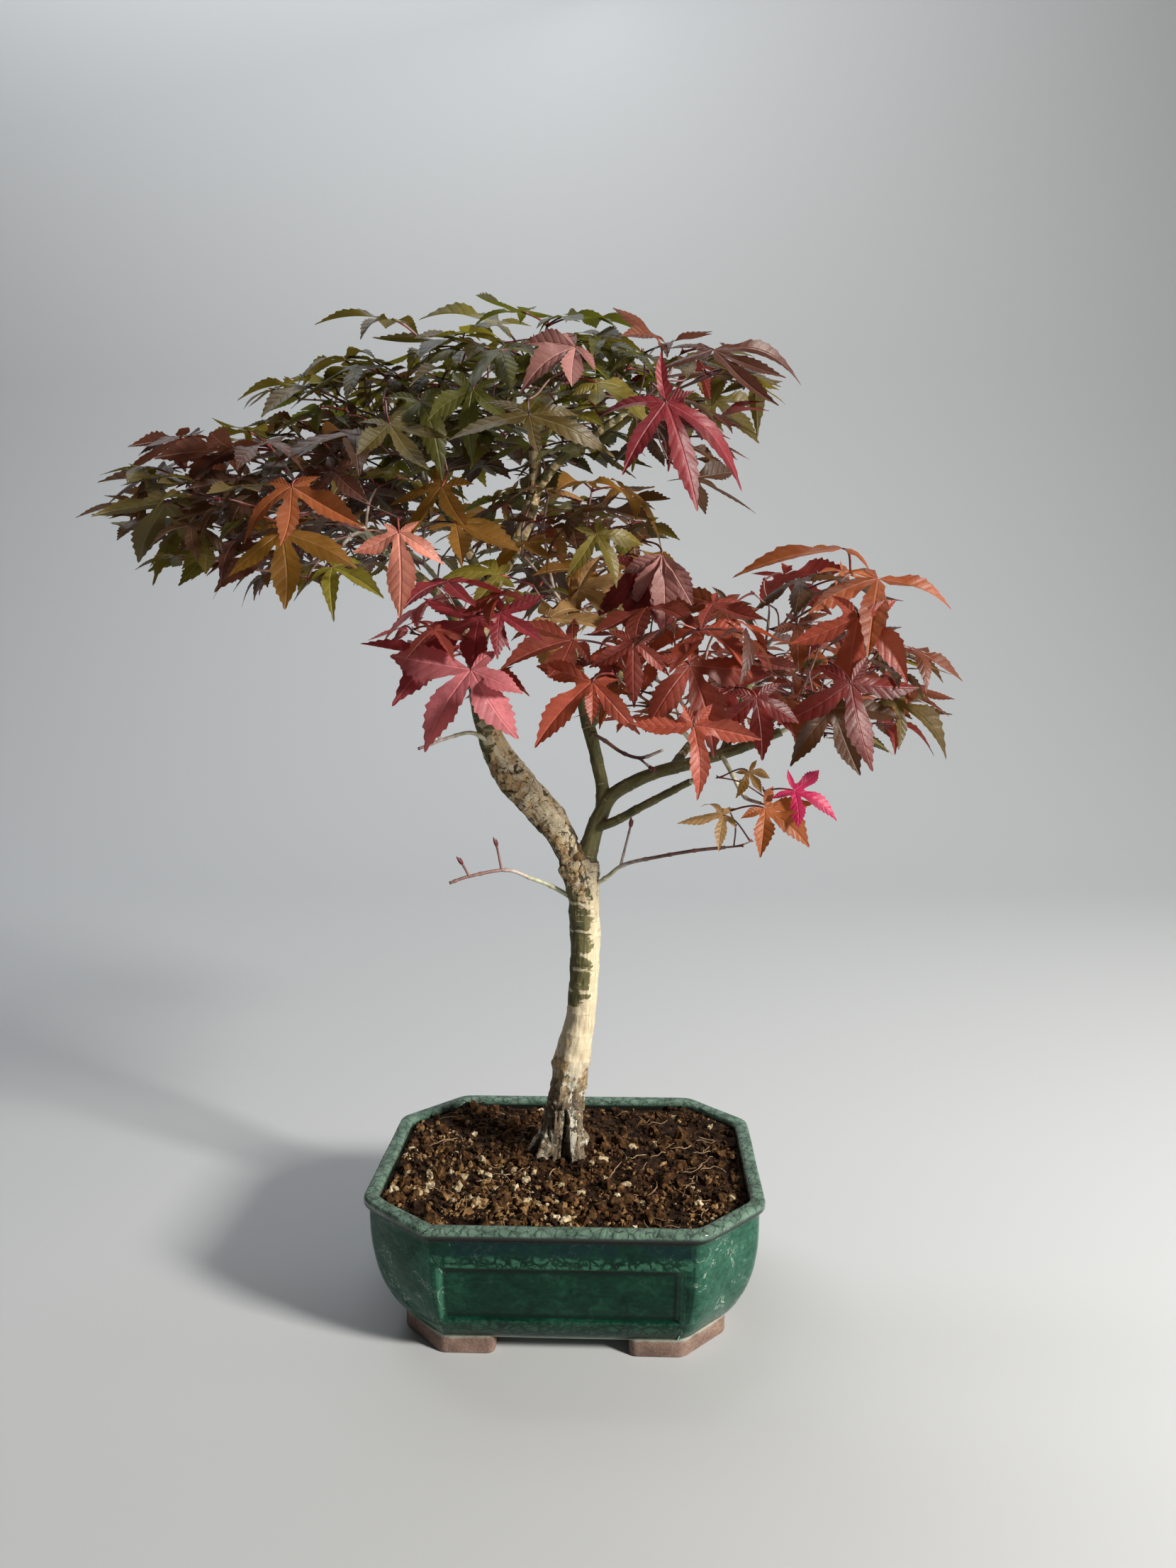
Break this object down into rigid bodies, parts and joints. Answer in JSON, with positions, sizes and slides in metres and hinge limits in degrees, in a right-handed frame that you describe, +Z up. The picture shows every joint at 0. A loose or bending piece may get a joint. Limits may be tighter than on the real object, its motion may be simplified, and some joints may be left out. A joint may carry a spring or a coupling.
{
  "type": "potted maple bonsai tree",
  "caption": "Small Japanese maple tree in autumn leaf, with a leaning forked trunk, growing in a low eight-sided glazed ceramic pot on short corner feet.",
  "frame": {"origin": "on the surface the pot stands on, below the middle of the whole plant's bounding box", "axes": "+Z up along the tree's height, +X to the right and +Y to the back as seen facing the pot's long front wall"},
  "size_m": [0.4042, 0.2354, 0.4894],
  "materials": {
    "glazed_pot": "mottled green crackle glaze over pinkish clay",
    "granular_soil": "damp brown and tan granules",
    "trunk_bark": "flaking olive and cream bark",
    "bough_bark": "olive and grey brown bark",
    "red_leaves": "soft satin leaves in red and orange",
    "bronze_leaves": "soft satin leaves in bronze and brown",
    "green_leaves": "soft satin leaves in green and bronze"
  },
  "bodies": {
    "root": {"back_bough": "bough_bark", "back_left_bough": "bough_bark", "back_right_bough": "bough_bark", "foliage_back": "bronze_leaves", "foliage_back_left": "bronze_leaves", "foliage_back_right": "red_leaves", "foliage_centre": "bronze_leaves", "foliage_front": "red_leaves", "foliage_left": "bronze_leaves", "foliage_middle": "red_leaves", "foliage_right": "red_leaves", "foliage_right_upper": "red_leaves", "foliage_top": "green_leaves", "foliage_top_right": "red_leaves", "foliage_upper_left": "green_leaves", "front_bough": "bough_bark", "inner_twig": "bough_bark", "leader_lower": "bough_bark", "leader_upper": "bough_bark", "left_bough": "bough_bark", "left_twig": "bough_bark", "left_upper_twig": "bough_bark", "low_bough": "bough_bark", "lower_spray_twig": "bough_bark", "pot": "glazed_pot", "right_bough": "bough_bark", "right_twig": "bough_bark", "rise_bough": "bough_bark", "soil": "granular_soil", "spray_low_right": "red_leaves", "spray_small": "red_leaves", "top_right_bough": "bough_bark", "trunk": "trunk_bark", "upper_left_bough": "bough_bark", "upright_bough": "bough_bark"}
  },
  "joints": []
}
